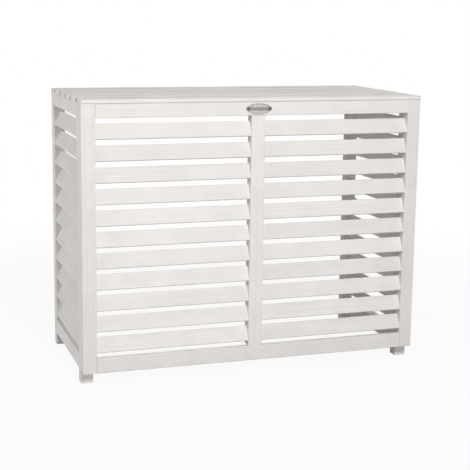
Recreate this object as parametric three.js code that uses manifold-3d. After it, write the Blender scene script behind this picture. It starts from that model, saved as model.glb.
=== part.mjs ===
// Louvred timber cabinet that stands over an outdoor air conditioner: a louvred front, two louvred
// sides on four feet, a slatted lid and an open back. X runs along the front, Y from the front to
// the back and Z up. The origin lies on the ground under the middle of the cabinet.
import * as THREE from 'three';
import { mergeVertices } from 'three/addons/utils/BufferGeometryUtils.js';
import Module from 'manifold-3d';

const wasm = await Module();
wasm.setup();

// Cabinet, in millimetres
const cabinetWidth = 1100;
const cabinetDepth = 512;
const panelHeight = 819.5;
const footDrop = 40;

// Timber of the three louvred panels
const frontThickness = 37;
const frontRailThickness = 16;
const sideThickness = 37;
const stileWidth = 42;
const mullionWidth = 44;
const postWidth = 38;
const topRailWidth = 42;
const frontBottomRailWidth = 48;
const sideBottomRailWidth = 46;
const arrisEase = 1.5;

// Louvres
const louvreCount = 11;
const louvreWidth = 50;
const louvreThickness = 8;
const louvreTiltDegrees = 28.5;
const louvreRecess = 0.5;
const louvreTopGap = 17.6;
const louvreBottomGap = 13.5;
const louvreEdgeRadius = 2;

// Stub tongues of the louvres and tenons of the frames
const tongueWidth = 30;
const tongueThickness = 4;
const tongueLength = 7;
const frontTenonThickness = 6;
const sideTenonThickness = 12;
const tenonLength = 22;
const tenonShoulder = 9;
const fitGap = 0.3;

// Lid of boards on three battens, and the rail that carries its back edge
const lidThickness = 12;
const lidOverhang = 2;
const lidInnerBoardCount = 4;
const lidEdgeBoardWidth = 67;
const lidBoardGap = 8;
const lidEdgeRadius = 3;
const battenWidth = 30;
const battenHeight = 20;
const battenHousing = 2;
const backRailThickness = 22;
const backRailWidth = 42;

// Oval plate on the front top rail
const plateLength = 82.5;
const plateHeight = 34.2;
const plateThickness = 1.2;
const plateRimWidth = 2.6;
const plateRimHeight = 0.5;
const plateHoleRadius = 1.8;
const plateHoleSpacing = 71;

// Counts of straight pieces in the round outlines
const edgeSegments = 2;
const ovalSegments = 48;
const holeSegments = 12;

// Places that follow from the sizes
const panelTop = footDrop + panelHeight;
const louvreTilt = THREE.MathUtils.degToRad(louvreTiltDegrees);
const louvreHalfRise = (louvreWidth * Math.cos(louvreTilt) + louvreThickness * Math.sin(louvreTilt)) / 2;
const louvreHalfReach = (louvreWidth * Math.sin(louvreTilt) + louvreThickness * Math.cos(louvreTilt)) / 2;
const louvreInset = louvreRecess + louvreHalfReach;
const topLouvreZ = panelHeight - topRailWidth - louvreTopGap - louvreHalfRise;
const bottomLouvreZ = frontBottomRailWidth + louvreBottomGap + louvreHalfRise;
const louvrePitch = (topLouvreZ - bottomLouvreZ) / (louvreCount - 1);

const whitePaint = new THREE.MeshStandardMaterial({ color: 0xebe7e2, roughness: 0.55, metalness: 0 });
const louvrePaint = new THREE.MeshStandardMaterial({ color: 0xf0ece8, roughness: 0.55, metalness: 0 });
const plateMetal = new THREE.MeshStandardMaterial({ color: 0xa9a6a1, roughness: 0.38, metalness: 1 });

// Turns a closed three.js geometry into a solid that can be joined and cut
function solidOf(geometry) {
  const bare = geometry.clone();
  bare.deleteAttribute('normal');
  bare.deleteAttribute('uv');
  const merged = mergeVertices(bare);
  return new wasm.Manifold(new wasm.Mesh({
    numProp: 3,
    vertProperties: new Float32Array(merged.attributes.position.array),
    triVerts: new Uint32Array(merged.index.array),
  }));
}

// Turns a solid back into a named mesh
function meshOf(name, solid, material) {
  const { vertProperties, triVerts } = solid.getMesh();
  const geometry = new THREE.BufferGeometry();
  geometry.setAttribute('position', new THREE.BufferAttribute(new Float32Array(vertProperties), 3));
  geometry.setIndex(new THREE.BufferAttribute(new Uint32Array(triVerts), 1));
  geometry.computeVertexNormals();
  const mesh = new THREE.Mesh(geometry, material);
  mesh.name = name;
  return mesh;
}

// A block between two corners, each given as [x, y, z]
function block(low, high) {
  const size = high.map((value, i) => value - low[i]);
  const middle = high.map((value, i) => (value + low[i]) / 2);
  return solidOf(new THREE.BoxGeometry(...size).translate(...middle));
}

// Outline of a bar's end with its four corners planed off
function easedOutline(width, height, ease) {
  const x = width / 2;
  const y = height / 2;
  return new THREE.Shape([
    new THREE.Vector2(ease - x, -y),
    new THREE.Vector2(x - ease, -y),
    new THREE.Vector2(x, ease - y),
    new THREE.Vector2(x, y - ease),
    new THREE.Vector2(x - ease, y),
    new THREE.Vector2(ease - x, y),
    new THREE.Vector2(-x, y - ease),
    new THREE.Vector2(-x, ease - y),
  ]);
}

// Outline of a board's end with its four corners rounded
function roundedOutline(width, height, radius) {
  const x = width / 2 - radius;
  const y = height / 2 - radius;
  const quarter = Math.PI / 2;
  const shape = new THREE.Shape();
  shape.absarc(x, -y, radius, -quarter, 0);
  shape.absarc(x, y, radius, 0, quarter);
  shape.absarc(-x, y, radius, quarter, 2 * quarter);
  shape.absarc(-x, -y, radius, 2 * quarter, 3 * quarter);
  return shape;
}

// Runs an outline along Z from one height to another
function extruded(outline, low, high, curveSegments) {
  const settings = { depth: high - low, bevelEnabled: false, curveSegments };
  return new THREE.ExtrudeGeometry(outline, settings).translate(0, 0, low);
}

// Runs an outline along X: its own X becomes Y, and its own Y becomes Z
function extrudedAlongX(outline, low, high, curveSegments) {
  return extruded(outline, low, high, curveSegments).rotateY(Math.PI / 2).rotateX(Math.PI / 2);
}

// An upright bar of a panel, from its lower to its upper end
function upright(left, right, thickness, low, high) {
  const outline = easedOutline(right - left, thickness, arrisEase);
  return solidOf(extruded(outline, low, high).translate((left + right) / 2, thickness / 2, 0));
}

// A level bar of a panel, between two heights
function rail(left, right, thickness, low, high) {
  const outline = easedOutline(thickness, high - low, arrisEase);
  return solidOf(extrudedAlongX(outline, left, right).translate(0, thickness / 2, (low + high) / 2));
}

// A tenon along X between two heights, in the middle of a rail's thickness. It is the tenon's
// mortise when it is made larger by a clearance.
function railTenon(rails, from, to, low, high, clearance) {
  const near = (rails.thickness - rails.tenonThickness) / 2 - clearance;
  const far = (rails.thickness + rails.tenonThickness) / 2 + clearance;
  const shoulder = tenonShoulder - clearance;
  return block([from, near, low + shoulder], [to, far, high - shoulder]);
}

// The same along Z, on an upright that stands between two rails
function uprightTenon(rails, left, right, from, to, clearance) {
  const near = (rails.thickness - rails.tenonThickness) / 2 - clearance;
  const far = (rails.thickness + rails.tenonThickness) / 2 + clearance;
  const shoulder = tenonShoulder - clearance;
  return block([left + shoulder, near, from], [right - shoulder, far, to]);
}

// A piece of louvre section along X, leaning at the louvres' tilt round the louvre's middle line
function leaning(geometry, z) {
  return solidOf(geometry.rotateX(-louvreTilt).translate(0, louvreInset, z));
}

// A louvre's stub tongue, or its mortise when it is made larger by a clearance
function tongue(from, to, z, clearance) {
  const depth = tongueThickness + 2 * clearance;
  const height = tongueWidth + 2 * clearance;
  return leaning(new THREE.BoxGeometry(to - from, depth, height).translate((from + to) / 2, 0, 0), z);
}

// A louvre between two uprights: a board with rounded edges and a stub tongue at each end
function louvre(left, right, z) {
  const outline = roundedOutline(louvreThickness, louvreWidth, louvreEdgeRadius);
  const board = leaning(extrudedAlongX(outline, left + fitGap, right - fitGap, edgeSegments), z);
  return board.add(tongue(left - tongueLength, right + tongueLength, z, 0));
}

// Heights of the louvres in a panel, from the top one down
function louvreHeights() {
  return Array.from({ length: louvreCount }, (_, i) => topLouvreZ - i * louvrePitch);
}

// The slanted mortises in one face of an upright, running from the face into the wood
function louvreMortises(solid, from, to) {
  return louvreHeights().reduce((cut, z) => cut.subtract(tongue(from, to, z, fitGap)), solid);
}

// A louvred panel in its own frame: X from 0 along the panel as seen from outside, Y from the outer
// face inwards, Z from the lower edge of its bottom rail. Its uprights are given from left to right
// as { name, width }, and the louvres of each bay between them take a name from louvreNames. Its
// rails lie flush with its outer face, and its outer uprights run on below them by the drop.
function louvredPanel({ name, width, thickness, uprights, louvreNames, rails, drop }) {
  const group = new THREE.Group();
  const outer = uprights.filter((_, i) => i === 0 || i === uprights.length - 1);
  const openingLeft = outer[0].width;
  const openingRight = width - outer[1].width;
  const openingTop = panelHeight - topRailWidth;
  const bayCount = louvreNames.length;
  const barTotal = uprights.slice(1, -1).reduce((total, bar) => total + bar.width, 0);
  const bayWidth = (openingRight - openingLeft - barTotal) / bayCount;

  // Rails with a tenon at each end
  const railBands = [[openingTop, panelHeight], [0, rails.bottomWidth]];
  const railSolids = railBands.map(([low, high]) => {
    const bar = rail(openingLeft + fitGap, openingRight - fitGap, rails.thickness, low, high);
    return bar.add(railTenon(rails, openingLeft - tenonLength, openingRight + tenonLength, low, high, 0));
  });

  // Outer uprights with the rails' mortises
  const mortiseReach = tenonLength + fitGap;
  const solids = [upright(0, openingLeft, thickness, -drop, panelHeight),
    upright(openingRight, width, thickness, -drop, panelHeight)];
  railBands.forEach(([low, high]) => {
    const mortise = railTenon(rails, openingLeft - mortiseReach, openingRight + mortiseReach, low, high, fitGap);
    solids[0] = solids[0].subtract(mortise);
    solids[1] = solids[1].subtract(mortise);
  });

  // Inner uprights stand between the rails, with a tenon in each
  let left = openingLeft + bayWidth;
  const inner = uprights.slice(1, -1).map((bar) => {
    const right = left + bar.width;
    const stand = upright(left, right, thickness, rails.bottomWidth + fitGap, openingTop - fitGap);
    const low = rails.bottomWidth - tenonLength;
    const high = openingTop + tenonLength;
    const solid = stand.add(uprightTenon(rails, left, right, low, high, 0));
    const mortise = uprightTenon(rails, left, right, low - fitGap, high + fitGap, fitGap);
    railSolids[0] = railSolids[0].subtract(mortise);
    railSolids[1] = railSolids[1].subtract(mortise);
    const entry = { name: bar.name, left, right, solid };
    left = right + bayWidth;
    return entry;
  });

  // Louvres of each bay, and their mortises in the uprights beside it
  const bars = [{ name: outer[0].name, left: 0, right: openingLeft, solid: solids[0] }, ...inner,
    { name: outer[1].name, left: openingRight, right: width, solid: solids[1] }];
  louvreNames.forEach((louvreName, i) => {
    const before = bars[i];
    const after = bars[i + 1];
    const reach = tongueLength + fitGap;
    before.solid = louvreMortises(before.solid, before.right - reach, before.right + reach);
    after.solid = louvreMortises(after.solid, after.left - reach, after.left + reach);
    louvreHeights().forEach((z, k) => {
      const label = `${louvreName}_${String(k + 1).padStart(2, '0')}`;
      group.add(meshOf(label, louvre(before.right, after.left, z), louvrePaint));
    });
  });

  bars.forEach((bar) => group.add(meshOf(bar.name, bar.solid, whitePaint)));
  group.add(meshOf(`${name}_top_rail`, railSolids[0], whitePaint));
  group.add(meshOf(`${name}_bottom_rail`, railSolids[1], whitePaint));
  return group;
}

// Front panel with two bays of louvres. It hangs clear of the ground, in front of the side panels
function frontPanel() {
  const panel = louvredPanel({
    name: 'front',
    width: cabinetWidth,
    thickness: frontThickness,
    uprights: [
      { name: 'front_left_stile', width: stileWidth },
      { name: 'front_mullion', width: mullionWidth },
      { name: 'front_right_stile', width: stileWidth },
    ],
    louvreNames: ['front_left_louvre', 'front_right_louvre'],
    rails: {
      bottomWidth: frontBottomRailWidth,
      thickness: frontRailThickness,
      tenonThickness: frontTenonThickness,
    },
    drop: 0,
  });
  panel.position.set(-cabinetWidth / 2, 0, footDrop);
  return panel;
}

// A side panel, whose posts run on below its bottom rail as the cabinet's feet
function sidePanel(name, uprightNames) {
  return louvredPanel({
    name,
    width: cabinetDepth - frontThickness - fitGap,
    thickness: sideThickness,
    uprights: uprightNames.map((uprightName) => ({ name: uprightName, width: postWidth })),
    louvreNames: [`${name}_louvre`],
    rails: {
      bottomWidth: sideBottomRailWidth,
      thickness: sideThickness,
      tenonThickness: sideTenonThickness,
    },
    drop: footDrop,
  });
}

function leftPanel() {
  const panel = sidePanel('left', ['left_back_post', 'left_front_post']);
  panel.rotation.z = -Math.PI / 2;
  panel.position.set(-cabinetWidth / 2, cabinetDepth, footDrop);
  return panel;
}

function rightPanel() {
  const panel = sidePanel('right', ['right_front_post', 'right_back_post']);
  panel.rotation.z = Math.PI / 2;
  panel.position.set(cabinetWidth / 2, frontThickness + fitGap, footDrop);
  return panel;
}

// Rail between the tops of the back posts
function backRail() {
  const end = cabinetWidth / 2 - sideThickness - fitGap;
  const solid = rail(-end, end, backRailThickness, panelTop - backRailWidth, panelTop);
  const mesh = meshOf('back_rail', solid, whitePaint);
  mesh.position.y = cabinetDepth - backRailThickness;
  return mesh;
}

// Lid: boards along the front, carried by three battens that fit between the panels' top rails. Its
// ends are flush with the side panels
function lid() {
  const low = panelTop + fitGap;
  const lidDepth = cabinetDepth + 2 * lidOverhang;
  const gapCount = lidInnerBoardCount + 1;
  const innerTotal = lidDepth - 2 * lidEdgeBoardWidth - gapCount * lidBoardGap;
  const innerWidth = innerTotal / lidInnerBoardCount;
  const widths = [lidEdgeBoardWidth, ...Array(lidInnerBoardCount).fill(innerWidth), lidEdgeBoardWidth];
  const halfLength = cabinetWidth / 2;
  let front = -lidOverhang;
  const boards = widths.map((width) => {
    const outline = roundedOutline(width, lidThickness, lidEdgeRadius);
    const board = extrudedAlongX(outline, -halfLength, halfLength, edgeSegments);
    const placed = solidOf(board.translate(0, front + width / 2, low + lidThickness / 2));
    front += width + lidBoardGap;
    return placed;
  });
  const battenReach = cabinetWidth / 2 - sideThickness - fitGap - battenWidth / 2;
  const battenFront = frontThickness + fitGap;
  const battenBack = cabinetDepth - backRailThickness - fitGap;
  const battens = [-battenReach, 0, battenReach].map((x) => block(
    [x - battenWidth / 2, battenFront, low - battenHeight],
    [x + battenWidth / 2, battenBack, low + battenHousing],
  ));
  const solid = [...boards, ...battens].reduce((total, piece) => total.add(piece));
  return meshOf('lid', solid, whitePaint);
}

// An upright oval of the given length and height
function oval(length, height) {
  const shape = new THREE.Shape();
  shape.absellipse(0, 0, length / 2, height / 2, 0, 2 * Math.PI);
  return shape;
}

// Bare oval plate with a raised rim, screwed to the middle of the front top rail
function ovalPlate() {
  const full = oval(plateLength, plateHeight);
  const field = oval(plateLength - 2 * plateRimWidth, plateHeight - 2 * plateRimWidth);
  const rimTop = plateThickness + plateRimHeight;
  const segments = ovalSegments / 2;
  let solid = solidOf(extruded(full, 0, rimTop, segments));
  solid = solid.subtract(solidOf(extruded(field, plateThickness, rimTop + plateThickness, segments)));
  [-plateHoleSpacing / 2, plateHoleSpacing / 2].forEach((x) => {
    const hole = new THREE.CylinderGeometry(plateHoleRadius, plateHoleRadius, rimTop * 2, holeSegments);
    solid = solid.subtract(solidOf(hole.rotateX(Math.PI / 2).translate(x, 0, plateThickness)));
  });
  const mesh = meshOf('oval_plate', solid, plateMetal);
  mesh.rotation.x = Math.PI / 2;
  mesh.position.set(0, -fitGap, panelTop - topRailWidth / 2);
  return mesh;
}

const cabinet = new THREE.Group();
cabinet.add(frontPanel(), leftPanel(), rightPanel(), backRail(), lid(), ovalPlate());
cabinet.position.y = -cabinetDepth / 2;

export default cabinet;
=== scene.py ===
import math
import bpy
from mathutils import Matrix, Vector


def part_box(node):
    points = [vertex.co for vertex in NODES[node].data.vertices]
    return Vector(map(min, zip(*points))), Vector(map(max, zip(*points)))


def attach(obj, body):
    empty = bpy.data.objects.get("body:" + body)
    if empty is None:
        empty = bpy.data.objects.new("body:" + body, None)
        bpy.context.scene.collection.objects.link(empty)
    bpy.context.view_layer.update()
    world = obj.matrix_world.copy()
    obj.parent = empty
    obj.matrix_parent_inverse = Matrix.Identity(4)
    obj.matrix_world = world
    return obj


bl_info = {
    "name": "Air Conditioner Screen",
    "version": (1, 0, 0),
    "blender": (4, 5, 0),
    "location": "View3D > Sidebar > Screen",
    "description": "Painted louvred cabinet that stands round an outdoor air conditioner",
    "category": "Object",
}

import bmesh
import bpy
from bpy.props import FloatProperty, FloatVectorProperty, PointerProperty
from bpy.types import Operator, Panel, PropertyGroup
from mathutils import Matrix, Vector

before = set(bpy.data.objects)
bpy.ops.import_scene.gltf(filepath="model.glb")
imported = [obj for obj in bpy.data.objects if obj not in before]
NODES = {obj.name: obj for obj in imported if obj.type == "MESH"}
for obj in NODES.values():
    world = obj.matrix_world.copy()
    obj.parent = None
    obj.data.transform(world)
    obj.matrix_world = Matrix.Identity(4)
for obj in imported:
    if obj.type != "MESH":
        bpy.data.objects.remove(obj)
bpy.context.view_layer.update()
PLATE_LOW, PLATE_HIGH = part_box("oval_plate")
PLATE_MIDDLE = (PLATE_LOW + PLATE_HIGH) / 2
PLATE_HALF = (PLATE_HIGH - PLATE_LOW) / 2
LID_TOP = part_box("lid")[1].z

BODY = "root"
FULL_TURN = 2 * math.pi
QUARTER_TURN = FULL_TURN / 4
UP = (0.0, 0.0, 1.0)
WHITE = (1.0, 1.0, 1.0, 1.0)

# The lid's boards, as the CAD model has them, and how far below them a point counts as batten
LID_PITCH = 0.0935
LID_GAP = 0.008
LID_BOARD_THICKNESS = 0.012
LID_UNDERSIDE = LID_TOP - LID_BOARD_THICKNESS
BATTEN_MARGIN = 0.0004

# Nodes by the way their grain runs: endings, whole names, or beginnings
UPRIGHT_ENDINGS = ("stile", "post")
MULLIONS = ("front_mullion",)
LONG_RAILS = ("front_top_rail", "front_bottom_rail", "back_rail")
FRONT_LOUVRE_STARTS = ("front_left_louvre", "front_right_louvre")

# Where each mask begins, and where it is full
EDGE_RANGE = (0.01, 0.22)
DOWNWARD_RANGE = (0.4, 0.85)
FIBRE_RANGE = (0.35, 0.75)
BRUSH_RANGE = (0.3, 0.7)
MOTTLE_RANGE = (0.3, 0.7)
TARNISH_RANGE = (0.3, 0.75)
SCREW_WEAR_RANGE = (0.4, 0.6)
KNOT_CORE_SHARE = 0.4
# Edges of the painted shade in the gaps between the lid's boards
GAP_SHADE_EDGE_SHARES = (0.5, 0.85)
GROOVE_INNER_SHARES = (0.72, 0.86)
GROOVE_OUTER_SHARES = (0.88, 0.93)
BAND_EDGE_SHARES = (0.6, 1.3)

# What is left of a mask where the marks that break it up are 0
WEAR_LEAST_SHARE = 0.35
DIRT_LEAST_SHARE = 0.3
# The painted shade in the lid's gaps keeps this much where the mottle is 0
GAP_SHADE_LEAST_SHARE = 0.7

# What each mark adds to roughness, to relief and to tarnish
PAINT_ROUGHNESS_SHARES = {"mottle": 0.10, "brush": 0.06, "edges": 0.12}
PAINT_RELIEF_SHARES = {"rings": 0.35, "fibres": 0.25, "brush": 0.40}
TARNISH_SHARES = {"groove": 0.30, "patches": 0.30, "band": 0.50}
PLATE_ROUGHNESS_SHARES = {"tarnish": 0.3, "brushed": 0.12}
PLATE_RELIEF_SHARES = {"brushed": 0.5, "pits": 0.5}
SCREW_ROUGHNESS_SHARE = 0.2
SCREW_WEAR_SHARE = 0.5
SCREW_METALLIC_SHARE = 0.9

# How fast a mark changes along the grain, as a share of how fast it changes across
ALONG_GRAIN_SHARES = {"warp": 0.06, "fibre": 0.02, "brush": 0.008, "knot": 0.6, "metal": 0.05}

# Noise: the middle of three draws, its layers of detail, and how strong each is beside the last
MIDDLE_DRAW = (0.5, 0.5, 0.5)
USUAL_LAYERS = 3.0
SOFT_LAYERS = 2.0
BRUSH_LAYERS = 4.0
USUAL_LAYER_SHARE = 0.55
BRUSH_LAYER_SHARE = 0.7
PITS_PER_METRE = 1100.0
BEVEL_SAMPLES = 4

# The floor's tone where its grain is darkest, and what the grain adds
FLOOR_TONE_SHARE = 0.97
FLOOR_GRAIN_SHARE = 0.06

# The screws' names, sides of the plate and turns, and the shape of a head
SCREWS = (("plate_screw_left", -1, 0.3), ("plate_screw_right", 1, 1.1))
HEAD_PROFILE_SHARES = ((1.0, 0.0), (0.98, 0.35), (0.88, 0.72), (0.70, 0.93))
RECESS_ARMS = 4
RECESS_ARM_SHARE = 0.58
RECESS_SLOT_SHARE = 0.13
RECESS_TAPER_SHARE = 0.7
RECESS_FLOOR_SHARE = 0.35

SOFT_LAMPS = ("front", "left", "right", "rear", "back")


def colour_setting(name, description, default):
    """A colour that the sidebar shows as a swatch."""
    return FloatVectorProperty(
        name=name, description=description, default=default, subtype="COLOR", size=3, min=0, max=1
    )


def length_setting(name, description, default):
    """A length in metres."""
    return FloatProperty(
        name=name, description=description, default=default, min=0, unit="LENGTH", precision=5
    )


def share_setting(name, description, default):
    """A share from 0 to 1."""
    return FloatProperty(
        name=name, description=description, default=default, min=0, max=1, subtype="FACTOR"
    )


def angle_setting(name, description, default):
    """An angle in degrees as written, kept in radians."""
    return FloatProperty(
        name=name, description=description, default=math.radians(default), subtype="ANGLE"
    )


def power_setting(name, description, default):
    """A lamp's power in watts."""
    return FloatProperty(name=name, description=description, default=default, min=0, unit="POWER")


def place_setting(name, description, default):
    """A point in metres."""
    return FloatVectorProperty(
        name=name, description=description, default=default, size=3, subtype="XYZ", unit="LENGTH"
    )


class PaintSettings(PropertyGroup):
    """White paint on softwood, what the wood and the brush leave in it, and the painted shade laid on
    it.
    """

    warm_white: colour_setting("Warm white", "Paint of the warmest boards", (0.850, 0.820, 0.796))
    cool_white: colour_setting("Cool white", "Paint of the coolest boards", (0.838, 0.810, 0.789))
    thin_paint: colour_setting("Thin paint", "Worn edges, where the primer shows", (0.62, 0.55, 0.47))
    knot_stain: colour_setting("Knot stain", "Resin that bleeds through at a knot", (0.66, 0.52, 0.36))
    ground_dirt: colour_setting("Ground dirt", "Splashes on the feet", (0.42, 0.38, 0.33))
    # Painted shade: near black laid in the gaps between the lid's boards, where shade falls
    gap_painted_shade: colour_setting("Gap painted shade", "Painted shade in the gaps between the lid's boards", (0.09, 0.08, 0.07))
    ring_spacing: length_setting("Ring spacing", "From one growth ring to the next", 0.0042)
    ring_waver: length_setting("Ring waver", "How far a ring strays along the board", 0.007)
    warp_width: length_setting("Warp width", "Width of the waves that a ring strays in", 0.03)
    pith_reach: length_setting("Pith reach", "How far off the tree's centre may lie", 0.12)
    fibre_width: length_setting("Fibre width", "Width of the wood's fibres under the paint", 0.0016)
    brush_width: length_setting("Brush mark width", "Width of the marks of the brush", 0.0045)
    mottle_width: length_setting("Mottle width", "Size of the paint's uneven patches", 0.09)
    knot_spacing: length_setting("Knot spacing", "Usual distance between two knots", 0.24)
    knot_radius: length_setting("Knot radius", "Radius of a knot's stain", 0.009)
    edge_radius: length_setting("Edge radius", "How far in from an edge the wear reaches", 0.003)
    dirt_height: length_setting("Dirt height", "How far up the ground dirt reaches", 0.07)
    relief: length_setting("Relief", "Depth of grain and brush marks in the paint", 0.00016)
    tone_share: share_setting("Tone shade", "How much darker the darkest board is", 0.03)
    lid_tone_share: share_setting("Lid tone shade", "The same for the lid's boards", 0.06)
    # Painted shade: stiles and posts are a darker copy of the same paint, where less light falls
    upright_painted_shade: share_setting("Upright painted shade", "How much darker stiles and posts are", 0.035)
    ring_share: share_setting("Ring shade", "How much darker a growth ring is", 0.02)
    fibre_share: share_setting("Fibre shade", "How much darker a fibre is", 0.02)
    brush_share: share_setting("Brush shade", "How much darker a brush mark is", 0.05)
    mottle_share: share_setting("Mottle shade", "How much darker a patch is", 0.04)
    knot_share: share_setting("Knot strength", "How much of a knot's stain shows", 0.2)
    wear_share: share_setting("Edge wear", "How much of the worn edges shows", 0.06)
    # Painted shade: faces that look down are darkened as if in shade
    underside_painted_shade: share_setting("Underside painted shade", "How much darker faces that look down are", 0.17)
    # Painted shade: how dark the lid's gaps are painted
    gap_shade_share: share_setting("Gap shade strength", "How much of the painted gap shade shows", 0.95)
    dirt_share: share_setting("Dirt strength", "How much of the ground dirt shows", 0.05)
    roughness: share_setting("Roughness", "Roughness of the satin paint", 0.58)
    gloss: share_setting("Gloss", "Strength of the paint's gloss", 0.3)


class PlateSettings(PropertyGroup):
    """Small oval metal plate on the front top rail, and its two screws."""

    metal: colour_setting("Metal", "Bare metal of the plate", (0.44, 0.432, 0.415))
    tarnish: colour_setting("Tarnish", "Dull metal near rim and middle", (0.13, 0.12, 0.11))
    screw_metal: colour_setting("Screws", "Darkened steel of the screws", (0.07, 0.065, 0.06))
    bead_radius: length_setting("Bead radius", "Half the width of the raised line", 0.00045)
    bead_inset: length_setting("Bead inset", "From the plate's edge to the raised line", 0.0042)
    cushion_width: length_setting("Cushion width", "Width of the plain raised oval", 0.044)
    cushion_height: length_setting("Cushion height", "Height of the plain raised oval", 0.014)
    cushion_rise: length_setting("Cushion rise", "How far the raised oval stands out", 0.0006)
    rim_height: length_setting("Rim height", "How far the plate's rim stands out", 0.0005)
    brushed_width: length_setting("Brushed width", "Width of the brushed lines in the metal", 0.0006)
    patch_width: length_setting("Patch width", "Size of the duller patches", 0.006)
    edge_radius: length_setting("Edge radius", "How far in from an edge the polish reaches", 0.0004)
    relief: length_setting("Relief", "Depth of brushed lines and pits", 0.00008)
    band_share: share_setting("Band height", "Share of the plate's height that is duller", 0.34)
    roughness: share_setting("Roughness", "Roughness of the bare metal", 0.38)
    screw_radius: length_setting("Screw radius", "Radius of a screw's head", 0.0031)
    screw_rise: length_setting("Screw rise", "Height of a screw's head", 0.0013)
    screw_spacing: length_setting("Screw spacing", "From one screw to the other", 0.071)
    screw_patch_width: length_setting("Screw patch width", "Size of the patches in the steel", 0.0012)
    screw_edge_radius: length_setting("Screw edge radius", "How far in a head's wear reaches", 0.0003)
    screw_relief: length_setting("Screw relief", "Depth of the patches in the steel", 0.00003)
    screw_roughness: share_setting("Screw roughness", "Roughness of the darkened steel", 0.42)


class StageSettings(PropertyGroup):
    """Floor, lamps and camera."""

    floor_size: length_setting("Floor size", "Side of the square floor", 40)
    floor_colour: colour_setting("Floor", "Pale floor", (0.62, 0.615, 0.61))
    floor_grain: length_setting("Floor grain", "Size of the floor's uneven patches", 0.05)
    glow_share: share_setting("Floor glow", "Share of plain white in the floor as it is seen", 0.93)
    shade_reach: length_setting("Shade reach", "Where the floor's shading fades to white", 2.6)
    daylight: colour_setting("Surroundings", "Light from all sides", (0.090, 0.0865, 0.0815))
    key_place: place_setting("Key lamp", "Place of the main lamp, in front", (-0.4, -3.9, 3.1))
    key_size: length_setting("Key lamp size", "Side of the main lamp", 0.8)
    key_power: power_setting("Key lamp power", "Power of the main lamp", 118)
    front_place: place_setting("Front lamp", "Place of the soft lamp low in front", (-0.3, -4.6, 1.2))
    front_power: power_setting("Front lamp power", "Power of the lamp low in front", 39)
    left_place: place_setting("Left lamp", "Place of the soft lamp on the left", (-3.3, -0.3, 1.5))
    left_power: power_setting("Left lamp power", "Power of the lamp on the left", 47)
    right_place: place_setting("Right lamp", "Place of the soft lamp on the right", (3.6, 0.2, 1.4))
    right_power: power_setting("Right lamp power", "Power of the lamp on the right", 25)
    rear_place: place_setting("Rear lamp", "Place of the soft lamp high behind", (1.2, 3.0, 3.4))
    rear_power: power_setting("Rear lamp power", "Power of the lamp high behind", 30)
    back_place: place_setting("Back lamp", "Place of the soft lamp low behind", (3.2, 2.7, 0.9))
    back_power: power_setting("Back lamp power", "Power of the lamp low behind", 44)
    soft_size: length_setting("Soft lamp size", "Side of each soft lamp", 2.0)
    aim: place_setting("Aim", "Point that the lamps face", (0, 0, 0.45))
    camera_place: place_setting("Camera", "Place of the camera", (-1.1744, -3.5169, 1.1304))
    camera_yaw: angle_setting("Camera yaw", "Turn to the right of straight ahead", 18.665)
    camera_pitch: angle_setting("Camera pitch", "How far it looks down", 10.256)
    camera_roll: angle_setting("Camera roll", "Tilt to the side", 0.783)
    camera_lens: FloatProperty(
        name="Lens", description="Focal length on a 36 mm sensor", default=86.716, min=1, unit="CAMERA"
    )
    camera_shift: FloatProperty(
        name="Shift", description="Share of the frame that the view moves up", default=-0.04
    )


# Shader sums

class Wire:
    """A shader socket that takes part in sums. Each operator adds one Math node."""

    def __init__(self, shader, socket):
        self.shader = shader
        self.socket = socket

    def _sum(self, operation, *values):
        """Adds a Math node on those values."""
        return self.shader.add("ShaderNodeMath", {"operation": operation}, dict(enumerate(values)))

    def __add__(self, other):
        return self._sum("ADD", self, other)

    def __radd__(self, other):
        return self._sum("ADD", other, self)

    def __sub__(self, other):
        return self._sum("SUBTRACT", self, other)

    def __rsub__(self, other):
        return self._sum("SUBTRACT", other, self)

    def __mul__(self, other):
        return self._sum("MULTIPLY", self, other)

    def __rmul__(self, other):
        return self._sum("MULTIPLY", other, self)

    def __truediv__(self, other):
        return self._sum("DIVIDE", self, other)

    def __lt__(self, other):
        return self._sum("LESS_THAN", self, other)

    def __gt__(self, other):
        return self._sum("GREATER_THAN", self, other)

    def wave(self):
        """A wave from 0 to 1 that repeats each time the value grows by 1."""
        return self._sum("SINE", self * FULL_TURN) * 0.5 + 0.5

    def whole(self):
        """The value rounded down."""
        return self._sum("FLOOR", self)

    def size(self):
        """The value without its sign."""
        return self._sum("ABSOLUTE", self)

    def centred(self):
        """A value from 0 to 1, moved to lie round 0."""
        return self - 0.5

    def lifted(self, least):
        """A value from 0 to 1, squeezed to lie between least and 1."""
        return least + (1 - least) * self

    def between(self, low, high):
        """0 up to low, 1 from high on, and smooth in between."""
        return self.shader.add(
            "ShaderNodeMapRange",
            {"interpolation_type": "SMOOTHSTEP"},
            {"Value": self, "From Min": low, "From Max": high},
        )


def open_socket(sockets, key):
    """The socket of that place or name, among those that the node's settings leave open."""
    shown = [socket for socket in sockets if socket.enabled]
    if isinstance(key, int):
        return shown[key]
    return next(socket for socket in shown if socket.name == key)


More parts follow.
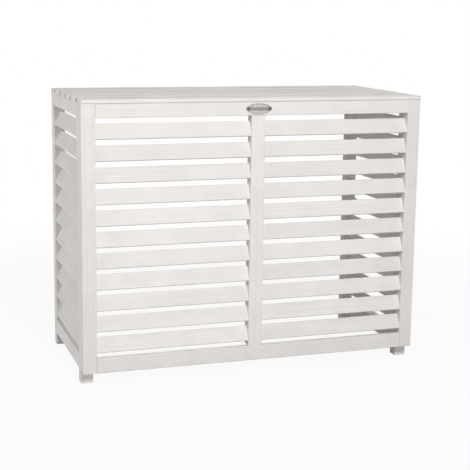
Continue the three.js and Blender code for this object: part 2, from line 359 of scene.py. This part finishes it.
class Shader:
    """The node tree of one material or world."""

    def __init__(self, owner):
        owner.use_nodes = True
        self.tree = owner.node_tree
        self.tree.nodes.clear()

    def add(self, kind, settings=None, inputs=None, output=0):
        """Adds a node with its settings and its sockets' values or links, and returns one output."""
        node = self.tree.nodes.new(kind)
        for name, value in (settings or {}).items():
            setattr(node, name, value)
        for key, value in (inputs or {}).items():
            socket = open_socket(node.inputs, key)
            if isinstance(value, Wire):
                self.tree.links.new(value.socket, socket)
            else:
                socket.default_value = value
        return Wire(self, open_socket(node.outputs, output)) if len(node.outputs) else None

    def place(self):
        """The point on the surface, in metres. A CAD node's own axes are the cabinet's."""
        return self.add("ShaderNodeTexCoord", None, None, "Object")

    def facing(self):
        """The way that the surface faces, without its relief."""
        return self.add("ShaderNodeNewGeometry", None, None, "Normal")

    def part(self, vector, letter):
        """The X, Y or Z of a vector."""
        return self.add("ShaderNodeSeparateXYZ", None, {"Vector": vector}, letter)

    def vector(self, operation, first, second=None, output="Vector"):
        """Vector Math on one or two vectors or colours."""
        inputs = {0: first} if second is None else {0: first, 1: second}
        return self.add("ShaderNodeVectorMath", {"operation": operation}, inputs, output)

    def scaled(self, vector, factor):
        """A vector or colour times a value."""
        inputs = {0: vector, "Scale": factor}
        return self.add("ShaderNodeVectorMath", {"operation": "SCALE"}, inputs, "Vector")

    def mix(self, factor, first, second):
        """The first colour, turning into the second as factor goes to 1."""
        inputs = {"Factor": factor, "A": first, "B": second}
        return self.add("ShaderNodeMix", {"data_type": "RGBA"}, inputs, "Result")

    def stained(self, colour, stains):
        """The colour under stains, each a mask and a colour setting, the last on top."""
        for mask, stain in stains:
            colour = self.mix(mask, colour, opaque(stain))
        return colour

    def draw(self, seed, output="Value"):
        """A random number from 0 to 1 that depends only on the seed, or three of them as Color."""
        return self.add("ShaderNodeTexWhiteNoise", {"noise_dimensions": "1D"}, {"W": seed}, output)

    def noise(self, place, width, layers=USUAL_LAYERS, layer_share=USUAL_LAYER_SHARE):
        """Soft noise whose patches are about that wide."""
        inputs = {"Vector": place, "Scale": 1 / width, "Detail": layers, "Roughness": layer_share}
        return self.add("ShaderNodeTexNoise", None, inputs)

    def scatter(self, place, per_metre):
        """How far the nearest of scattered points is, counted in their usual spacing."""
        inputs = {"Vector": place, "Scale": per_metre}
        return self.add("ShaderNodeTexVoronoi", None, inputs, "Distance")

    def surface(self, bsdf):
        """Sets the material's surface."""
        self.add("ShaderNodeOutputMaterial", None, {"Surface": bsdf})

    def coat(self, colour, roughness, height, relief, constants):
        """Sets a Principled surface with that relief, and the sockets that are the same all over."""
        normal = self.add("ShaderNodeBump", None, {"Height": height, "Distance": relief})
        inputs = {"Base Color": colour, "Roughness": roughness, "Normal": normal, **constants}
        self.surface(self.add("ShaderNodeBsdfPrincipled", None, inputs))


def new_material(name):
    """A material and its empty shader."""
    material = bpy.data.materials.new(name)
    return material, Shader(material)


def opaque(colour):
    """A colour setting as the four numbers of a socket."""
    return (*colour, 1.0)


def by_axis(axis, along, across):
    """Three numbers with one value along the axis and another across it."""
    return tuple(along if name == axis else across for name in "XYZ")


def summed(start, shares, **marks):
    """The start, plus each mark times its share."""
    total = start
    for name, share in shares.items():
        total = total + share * marks[name]
    return total


def edge_mask(shader, radius):
    """1 where the surface turns within the radius, 0 on the flat."""
    soft = shader.add("ShaderNodeBevel", {"samples": BEVEL_SAMPLES}, {"Radius": radius})
    alike = shader.vector("DOT_PRODUCT", soft, shader.facing(), "Value")
    return (1 - alike).between(*EDGE_RANGE)


def looking_down(shader):
    """1 on faces that look down, 0 on the others: where painted shade darkens the undersides."""
    return (0 - shader.part(shader.facing(), "Z")).between(*DOWNWARD_RANGE)


# Painted timber

class Timber:
    """The marks of one board in its paint, each a value from 0 to 1."""

    def __init__(self, shader, paint, axis, place, chance):
        self.shader = shader
        self.paint = paint
        self.axis = axis
        offset = shader.vector("SUBTRACT", shader.draw(chance, "Color"), MIDDLE_DRAW)
        self.place = shader.vector("ADD", place, shader.scaled(offset, 2 * paint.pith_reach))

    def stretched(self, name):
        """The place, drawn out along the grain for that mark."""
        scales = by_axis(self.axis, ALONG_GRAIN_SHARES[name], 1.0)
        return self.shader.vector("MULTIPLY", self.place, scales)

    def rings(self):
        """Growth rings round the tree's centre, which waver along the board."""
        across = self.shader.vector("MULTIPLY", self.place, by_axis(self.axis, 0.0, 1.0))
        from_pith = self.shader.vector("LENGTH", across, output="Value")
        waver = self.shader.noise(self.stretched("warp"), self.paint.warp_width) * self.paint.ring_waver
        return ((from_pith + waver) / self.paint.ring_spacing).wave()

    def fibres(self):
        """Fine lines along the grain."""
        lines = self.shader.noise(self.stretched("fibre"), self.paint.fibre_width, SOFT_LAYERS)
        return lines.between(*FIBRE_RANGE)

    def brush(self):
        """Long marks of the brush, also along the grain."""
        place, width = self.stretched("brush"), self.paint.brush_width
        return self.shader.noise(place, width, BRUSH_LAYERS, BRUSH_LAYER_SHARE).between(*BRUSH_RANGE)

    def mottle(self):
        """Wide soft patches."""
        patches = self.shader.noise(self.place, self.paint.mottle_width, SOFT_LAYERS)
        return patches.between(*MOTTLE_RANGE)

    def knots(self):
        """A few round stains."""
        away = self.shader.scatter(self.stretched("knot"), 1 / self.paint.knot_spacing)
        radius = self.paint.knot_radius / self.paint.knot_spacing
        return 1 - away.between(radius * KNOT_CORE_SHARE, radius)


class LidBoards:
    """The lid's boards, counted from front to back, and the battens under them."""

    def __init__(self, shader, place, height):
        self.shader = shader
        self.place = place
        self.height = height
        self.count = shader.part(place, "Y") / LID_PITCH

    def chance(self):
        """A number from 0 to 1 for each board."""
        return self.shader.draw(self.count.whole())

    def along_grain(self):
        """The place, turned on the battens, whose grain runs across the boards."""
        across = self.shader.vector("CROSS_PRODUCT", self.place, UP)
        return self.shader.mix(self.height < LID_UNDERSIDE - BATTEN_MARGIN, self.place, across)

    def gaps(self):
        """1 in the gaps between the boards, where the painted shade goes, 0 on the boards and on the
        battens.
        """
        away = ((self.count + 0.5).whole() - self.count).size() * LID_PITCH
        near = 1 - away.between(*(share * LID_GAP for share in GAP_SHADE_EDGE_SHARES))
        return near * (self.height > LID_UNDERSIDE)


def painted_wood(name, paint, axis, painted_shade_share=0.0, is_lid=False):
    """Satin white paint on a board whose grain runs along the axis, or on the lid's boards, with
    painted shade on faces that look down, in the lid's gaps and, by a share, all over.
    """
    material, shader = new_material(name)
    place = shader.place()
    height = shader.part(place, "Z")
    if is_lid:
        boards = LidBoards(shader, place, height)
        chance, tone_share = boards.chance(), paint.lid_tone_share
        timber = Timber(shader, paint, axis, boards.along_grain(), chance)
    else:
        chance, tone_share = shader.add("ShaderNodeObjectInfo", None, None, "Random"), paint.tone_share
        timber = Timber(shader, paint, axis, place, chance)
    rings, fibres, brush, mottle = timber.rings(), timber.fibres(), timber.brush(), timber.mottle()
    edges = edge_mask(shader, paint.edge_radius) * brush.lifted(WEAR_LEAST_SHARE)
    splashes = (1 - height.between(0.0, paint.dirt_height)) * mottle.lifted(DIRT_LEAST_SHARE)

    # Painted shade: a share off all over, which darkens the uprights
    shade = 1 - painted_shade_share - rings * paint.ring_share - fibres * paint.fibre_share - chance * tone_share
    shade = shade - brush * paint.brush_share - mottle * paint.mottle_share
    # Painted shade on faces that look down
    shade = shade - looking_down(shader) * paint.underside_painted_shade
    stains = [
        (timber.knots() * paint.knot_share, paint.knot_stain),
        (edges * paint.wear_share, paint.thin_paint),
        (splashes * paint.dirt_share, paint.ground_dirt),
    ]
    # Painted shade: the gaps between the lid's boards are darkened, broken up a little by the mottle
    if is_lid:
        lid_gap_shade = boards.gaps() * mottle.lifted(GAP_SHADE_LEAST_SHARE)
        stains.append((lid_gap_shade * paint.gap_shade_share, paint.gap_painted_shade))
    white = shader.mix(chance, opaque(paint.warm_white), opaque(paint.cool_white))
    colour = shader.stained(shader.scaled(white, shade), stains)

    uneven = {"mottle": mottle.centred(), "brush": brush.centred(), "edges": edges}
    roughness = summed(paint.roughness, PAINT_ROUGHNESS_SHARES, **uneven)
    grain = summed(0, PAINT_RELIEF_SHARES, rings=rings, fibres=fibres, brush=brush)
    shader.coat(colour, roughness, grain, paint.relief, {"Specular IOR Level": paint.gloss})
    return material


def wear_finish(names, material):
    """Puts the material on those nodes in place of the plain one."""
    for name in names:
        slots = NODES[name].material_slots
        if not slots:
            raise RuntimeError(f"{name} has no material slot")
        for material_slot in slots:
            material_slot.material = material


class AIRSCREEN_OT_paint_frame(Operator):
    """Paints stiles, mullion, posts and rails along their own grain"""

    bl_idname = "airscreen.paint_frame"
    bl_label = "Paint the frame"

    def execute(self, context):
        paint = context.scene.airscreen_paint
        uprights = [name for name in NODES if name.endswith(UPRIGHT_ENDINGS)]
        side_rails = [name for name in NODES if name.endswith("_rail") and name not in LONG_RAILS]
        # The uprights take a darker copy of the paint, as painted shade
        wear_finish(uprights, painted_wood("painted_upright", paint, "Z", paint.upright_painted_shade))
        wear_finish(MULLIONS, painted_wood("painted_mullion", paint, "Z"))
        wear_finish(LONG_RAILS, painted_wood("painted_long_rail", paint, "X"))
        wear_finish(side_rails, painted_wood("painted_side_rail", paint, "Y"))
        return {"FINISHED"}


class AIRSCREEN_OT_paint_louvres(Operator):
    """Paints the louvres of the front and of both sides"""

    bl_idname = "airscreen.paint_louvres"
    bl_label = "Paint the louvres"

    def execute(self, context):
        paint = context.scene.airscreen_paint
        louvres = [name for name in NODES if "_louvre_" in name]
        front = [name for name in louvres if name.startswith(FRONT_LOUVRE_STARTS)]
        sides = [name for name in louvres if name not in front]
        wear_finish(front, painted_wood("painted_front_louvre", paint, "X"))
        wear_finish(sides, painted_wood("painted_side_louvre", paint, "Y"))
        return {"FINISHED"}


class AIRSCREEN_OT_paint_lid(Operator):
    """Paints the lid, each of its boards with its own grain and tone"""

    bl_idname = "airscreen.paint_lid"
    bl_label = "Paint the lid"

    def execute(self, context):
        paint = context.scene.airscreen_paint
        wear_finish(["lid"], painted_wood("painted_lid_board", paint, "X", is_lid=True))
        return {"FINISHED"}


# Oval plate

def aged_metal(name, plate):
    """Grey cast metal, brushed along its length, dull where polish doesn't reach."""
    material, shader = new_material(name)
    place = shader.place()
    offset = shader.vector("SUBTRACT", place, tuple(PLATE_MIDDLE))
    shares = shader.vector("MULTIPLY", offset, (1 / PLATE_HALF.x, 0.0, 1 / PLATE_HALF.z))
    outward = shader.vector("LENGTH", shares, output="Value")
    groove = outward.between(*GROOVE_INNER_SHARES) * (1 - outward.between(*GROOVE_OUTER_SHARES))
    off_middle = shader.part(shares, "Z").size()
    band = 1 - off_middle.between(*(share * plate.band_share for share in BAND_EDGE_SHARES))
    along = shader.vector("MULTIPLY", place, by_axis("X", ALONG_GRAIN_SHARES["metal"], 1.0))
    brushed = shader.noise(along, plate.brushed_width)
    patches = shader.noise(place, plate.patch_width).between(*TARNISH_RANGE)
    pits = shader.scatter(place, PITS_PER_METRE)

    tarnish = summed(0, TARNISH_SHARES, groove=groove, patches=patches, band=band).between(0.0, 1.0)
    tarnish = tarnish * (1 - edge_mask(shader, plate.edge_radius))
    colour = shader.mix(tarnish, opaque(plate.metal), opaque(plate.tarnish))
    uneven = {"tarnish": tarnish, "brushed": brushed.centred()}
    roughness = summed(plate.roughness, PLATE_ROUGHNESS_SHARES, **uneven)
    height = summed(0, PLATE_RELIEF_SHARES, brushed=brushed, pits=pits)
    shader.coat(colour, roughness, height, plate.relief, {"Metallic": 1.0})
    return material


def dark_steel(name, plate):
    """Darkened steel with light wear on its edges."""
    material, shader = new_material(name)
    patches = shader.noise(shader.place(), plate.screw_patch_width)
    worn = edge_mask(shader, plate.screw_edge_radius) * patches.between(*SCREW_WEAR_RANGE)
    colour = shader.mix(worn * SCREW_WEAR_SHARE, opaque(plate.screw_metal), opaque(plate.metal))
    roughness = plate.screw_roughness + SCREW_ROUGHNESS_SHARE * patches.centred()
    shader.coat(colour, roughness, patches, plate.screw_relief, {"Metallic": SCREW_METALLIC_SHARE})
    return material


def new_piece(name, material, mesh_maker, *sizes, smooth=True):
    """A named piece of the plate, shaped by the mesh maker, which rides on the cabinet."""
    mesh = bpy.data.meshes.new(name)
    shape = bmesh.new()
    mesh_maker(shape, *sizes)
    bmesh.ops.recalc_face_normals(shape, faces=shape.faces)
    shape.to_mesh(mesh)
    shape.free()
    if smooth:
        mesh.shade_smooth()
    mesh.materials.append(material)
    piece = bpy.data.objects.new(name, mesh)
    bpy.context.scene.collection.objects.link(piece)
    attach(piece, BODY)


def on_field(plate, across=0.0):
    """A point on the plate's flat field, that far to the right of its middle."""
    return Vector((PLATE_MIDDLE.x + across, PLATE_LOW.y + plate.rim_height, PLATE_MIDDLE.z))


def turns(count):
    """That many equal steps round a full turn."""
    return [FULL_TURN * step / count for step in range(count)]


def on_oval(middle, half_width, half_height, turn, forward=0.0):
    """A point on an upright oval that faces the front, that far in front of its middle."""
    return middle + Vector((half_width * math.cos(turn), -forward, half_height * math.sin(turn)))


def oval_loop(shape, middle, half_width, half_height, forward, count):
    """A loop of vertices on such an oval."""
    points = [on_oval(middle, half_width, half_height, turn, forward) for turn in turns(count)]
    return [shape.verts.new(point) for point in points]


def joined_loops(shape, loops, closed):
    """Faces between one loop of vertices and the next, and from the last to the first if closed."""
    pairs = list(zip(loops, loops[1:]))
    if closed:
        pairs.append((loops[-1], loops[0]))
    for inner, outer in pairs:
        count = len(inner)
        for index in range(count):
            after = (index + 1) % count
            shape.faces.new((inner[index], inner[after], outer[after], outer[index]))


def oval_bead(shape, middle, half_width, half_height, radius, along=96, around=10):
    """A round wire bent to an oval, half of it sunk in the plate."""
    loops = []
    for turn in turns(along):
        centre = on_oval(middle, half_width, half_height, turn)
        out = Vector((half_height * math.cos(turn), 0, half_width * math.sin(turn))).normalized()
        spokes = [math.cos(swing) * out + Vector((0, -math.sin(swing), 0)) for swing in turns(around)]
        loops.append([shape.verts.new(centre + radius * spoke) for spoke in spokes])
    joined_loops(shape, loops, True)


def oval_cushion(shape, middle, half_width, half_height, rise, along=72, across=8):
    """A low oval dome with a flat back."""
    loops = []
    for ring in range(across):
        swing = QUARTER_TURN * ring / across
        share, forward = math.cos(swing), rise * math.sin(swing)
        loops.append(oval_loop(shape, middle, half_width * share, half_height * share, forward, along))
    joined_loops(shape, loops, False)
    shape.faces.new(loops[-1])
    shape.faces.new(loops[0])


def cross_recess(shape, middle, radius, rise, turn):
    """The walls and floor of a screw's cross recess, and the loop at its rim."""
    arm, slot = radius * RECESS_ARM_SHARE, radius * RECESS_SLOT_SHARE
    outline = []
    for arm_turn in turns(RECESS_ARMS):
        cosine, sine = math.cos(turn + arm_turn), math.sin(turn + arm_turn)
        for x, z in ((arm, -slot), (arm, slot), (slot, slot)):
            outline.append((x * cosine - z * sine, x * sine + z * cosine))
    rim = [shape.verts.new(middle + Vector((x, -rise, z))) for x, z in outline]
    taper, height = RECESS_TAPER_SHARE, rise * RECESS_FLOOR_SHARE
    floor = [shape.verts.new(middle + Vector((x * taper, -height, z * taper))) for x, z in outline]
    joined_loops(shape, [rim, floor], False)
    shape.faces.new(floor)
    return rim


def cross_head(shape, middle, radius, rise, turn, around=24):
    """A screw's domed head with a cross recess, facing the front."""
    loops = []
    for reach_share, rise_share in HEAD_PROFILE_SHARES:
        reach = radius * reach_share
        loops.append(oval_loop(shape, middle, reach, reach, rise * rise_share, around))
    joined_loops(shape, loops, False)
    shape.faces.new(loops[0])
    edges = []
    for loop in (loops[-1], cross_recess(shape, middle, radius, rise, turn)):
        for index, vertex in enumerate(loop):
            after = loop[(index + 1) % len(loop)]
            edges.append(shape.edges.get((vertex, after)) or shape.edges.new((vertex, after)))
    bmesh.ops.triangle_fill(shape, use_beauty=True, edges=edges)


class AIRSCREEN_OT_finish_plate(Operator):
    """Gives the oval plate its metal, a raised line and a plain cushion in the middle"""

    bl_idname = "airscreen.finish_plate"
    bl_label = "Finish the plate"

    def execute(self, context):
        plate = context.scene.airscreen_plate
        metal = aged_metal("aged_plate_metal", plate)
        wear_finish(["oval_plate"], metal)
        middle = on_field(plate)
        bead_halves = (PLATE_HALF.x - plate.bead_inset, PLATE_HALF.z - plate.bead_inset)
        cushion_halves = (plate.cushion_width / 2, plate.cushion_height / 2)
        new_piece("plate_outer_bead", metal, oval_bead, middle, *bead_halves, plate.bead_radius)
        new_piece("plate_cushion", metal, oval_cushion, middle, *cushion_halves, plate.cushion_rise)
        return {"FINISHED"}


class AIRSCREEN_OT_plate_screws(Operator):
    """Sets the two small screws that hold the plate"""

    bl_idname = "airscreen.plate_screws"
    bl_label = "Set the plate's screws"

    def execute(self, context):
        plate = context.scene.airscreen_plate
        steel = dark_steel("dark_screw_steel", plate)
        for name, side, turn in SCREWS:
            middle = on_field(plate, side * plate.screw_spacing / 2)
            sizes = (middle, plate.screw_radius, plate.screw_rise, turn)
            new_piece(name, steel, cross_head, *sizes, smooth=False)
        return {"FINISHED"}


# Stage

def seen_directly(shader):
    """1 for rays from the camera, mirrors and glass, 0 for light that only shades."""
    names = ("Is Camera Ray", "Is Glossy Ray", "Is Transmission Ray")
    camera, mirror, glass = [shader.add("ShaderNodeLightPath", None, None, name) for name in names]
    return (camera + mirror + glass).between(0.0, 1.0)


def pale_floor(stage):
    """A pale floor that keeps a soft shadow near the cabinet and is plain white further off."""
    material, shader = new_material("pale_floor")
    place = shader.place()
    away = shader.vector("LENGTH", place, output="Value")
    far = away.between(stage.shade_reach / 2, stage.shade_reach)
    share = far.lifted(stage.glow_share) * seen_directly(shader)
    tone = FLOOR_TONE_SHARE + FLOOR_GRAIN_SHARE * shader.noise(place, stage.floor_grain)
    colour = shader.scaled(tuple(stage.floor_colour), tone)
    matt = shader.add("ShaderNodeBsdfDiffuse", None, {"Color": colour})
    white = shader.add("ShaderNodeEmission", None, {"Color": WHITE, "Strength": 1.0})
    shader.surface(shader.add("ShaderNodeMixShader", None, {0: share, 1: matt, 2: white}))
    return material


def floor_sheet(stage):
    """The square floor under the cabinet."""
    half = stage.floor_size / 2
    corners = ((-half, -half, 0), (half, -half, 0), (half, half, 0), (-half, half, 0))
    mesh = bpy.data.meshes.new("floor")
    mesh.from_pydata(corners, (), (tuple(range(len(corners))),))
    mesh.materials.append(pale_floor(stage))
    floor = bpy.data.objects.new("floor", mesh)
    bpy.context.scene.collection.objects.link(floor)


def white_surroundings(stage):
    """White where it is seen, and a low even light where it only shades."""
    world = bpy.data.worlds.new("white_surroundings")
    bpy.context.scene.world = world
    shader = Shader(world)
    colour = shader.mix(seen_directly(shader), opaque(stage.daylight), WHITE)
    background = shader.add("ShaderNodeBackground", None, {"Color": colour, "Strength": 1.0})
    shader.add("ShaderNodeOutputWorld", None, {"Surface": background})


def soft_lamp(name, place, aim, size, power):
    """A square lamp that faces the aim."""
    lamp = bpy.data.lights.new(name, "AREA")
    lamp.size = size
    lamp.energy = power
    holder = bpy.data.objects.new(name, lamp)
    holder.location = place
    holder.rotation_euler = (Vector(aim) - Vector(place)).to_track_quat("-Z", "Y").to_euler()
    bpy.context.scene.collection.objects.link(holder)


def photo_camera(stage):
    """The camera at the photograph's place, turned by yaw, pitch and roll in that order."""
    camera = bpy.data.cameras.new("camera")
    camera.lens = stage.camera_lens
    camera.shift_y = stage.camera_shift
    camera.clip_end = stage.floor_size
    holder = bpy.data.objects.new("camera", camera)
    level = Matrix.Rotation(QUARTER_TURN, 4, "X")
    yaw = Matrix.Rotation(-stage.camera_yaw, 4, "Z")
    pitch = Matrix.Rotation(-stage.camera_pitch, 4, "X")
    roll = Matrix.Rotation(stage.camera_roll, 4, "Z")
    holder.matrix_world = Matrix.Translation(stage.camera_place) @ yaw @ level @ pitch @ roll
    bpy.context.scene.collection.objects.link(holder)
    bpy.context.scene.camera = holder


class AIRSCREEN_OT_set_stage(Operator):
    """Lays the floor and sets lamps, surroundings and camera"""

    bl_idname = "airscreen.set_stage"
    bl_label = "Set the stage"

    def execute(self, context):
        stage = context.scene.airscreen_stage
        context.scene.view_settings.view_transform = "Standard"
        floor_sheet(stage)
        white_surroundings(stage)
        soft_lamp("key_lamp", stage.key_place, stage.aim, stage.key_size, stage.key_power)
        for side in SOFT_LAMPS:
            place, power = getattr(stage, f"{side}_place"), getattr(stage, f"{side}_power")
            soft_lamp(f"{side}_lamp", place, stage.aim, stage.soft_size, power)
        photo_camera(stage)
        return {"FINISHED"}


class AIRSCREEN_PT_screen(Panel):
    """Steps that dress the cabinet"""

    bl_label = "Air Conditioner Screen"
    bl_idname = "AIRSCREEN_PT_screen"
    bl_space_type = "VIEW_3D"
    bl_region_type = "UI"
    bl_category = "Screen"

    def draw(self, context):
        for step in STEPS:
            self.layout.operator(step.bl_idname)
        for group in GROUPS:
            settings = getattr(context.scene, group)
            box = self.layout.box()
            for name in settings.bl_rna.properties.keys():
                if name not in ("rna_type", "name"):
                    box.prop(settings, name)


STEPS = (
    AIRSCREEN_OT_set_stage,
    AIRSCREEN_OT_paint_frame,
    AIRSCREEN_OT_paint_louvres,
    AIRSCREEN_OT_paint_lid,
    AIRSCREEN_OT_finish_plate,
    AIRSCREEN_OT_plate_screws,
)
GROUPS = {
    "airscreen_paint": PaintSettings,
    "airscreen_plate": PlateSettings,
    "airscreen_stage": StageSettings,
}


def register():
    """Adds the classes to Blender and the settings to the scene."""
    for kind in (*GROUPS.values(), *STEPS, AIRSCREEN_PT_screen):
        bpy.utils.register_class(kind)
    for name, kind in GROUPS.items():
        setattr(bpy.types.Scene, name, PointerProperty(type=kind))


def unregister():
    """Takes the settings and the classes away again."""
    for name in GROUPS:
        delattr(bpy.types.Scene, name)
    for kind in (AIRSCREEN_PT_screen, *reversed(STEPS), *GROUPS.values()):
        bpy.utils.unregister_class(kind)


def main():
    """Dresses the cabinet step by step."""
    register()
    bpy.ops.airscreen.set_stage()
    bpy.ops.airscreen.paint_frame()
    bpy.ops.airscreen.paint_louvres()
    bpy.ops.airscreen.paint_lid()
    bpy.ops.airscreen.finish_plate()
    bpy.ops.airscreen.plate_screws()


if __name__ == "__main__":
    main()
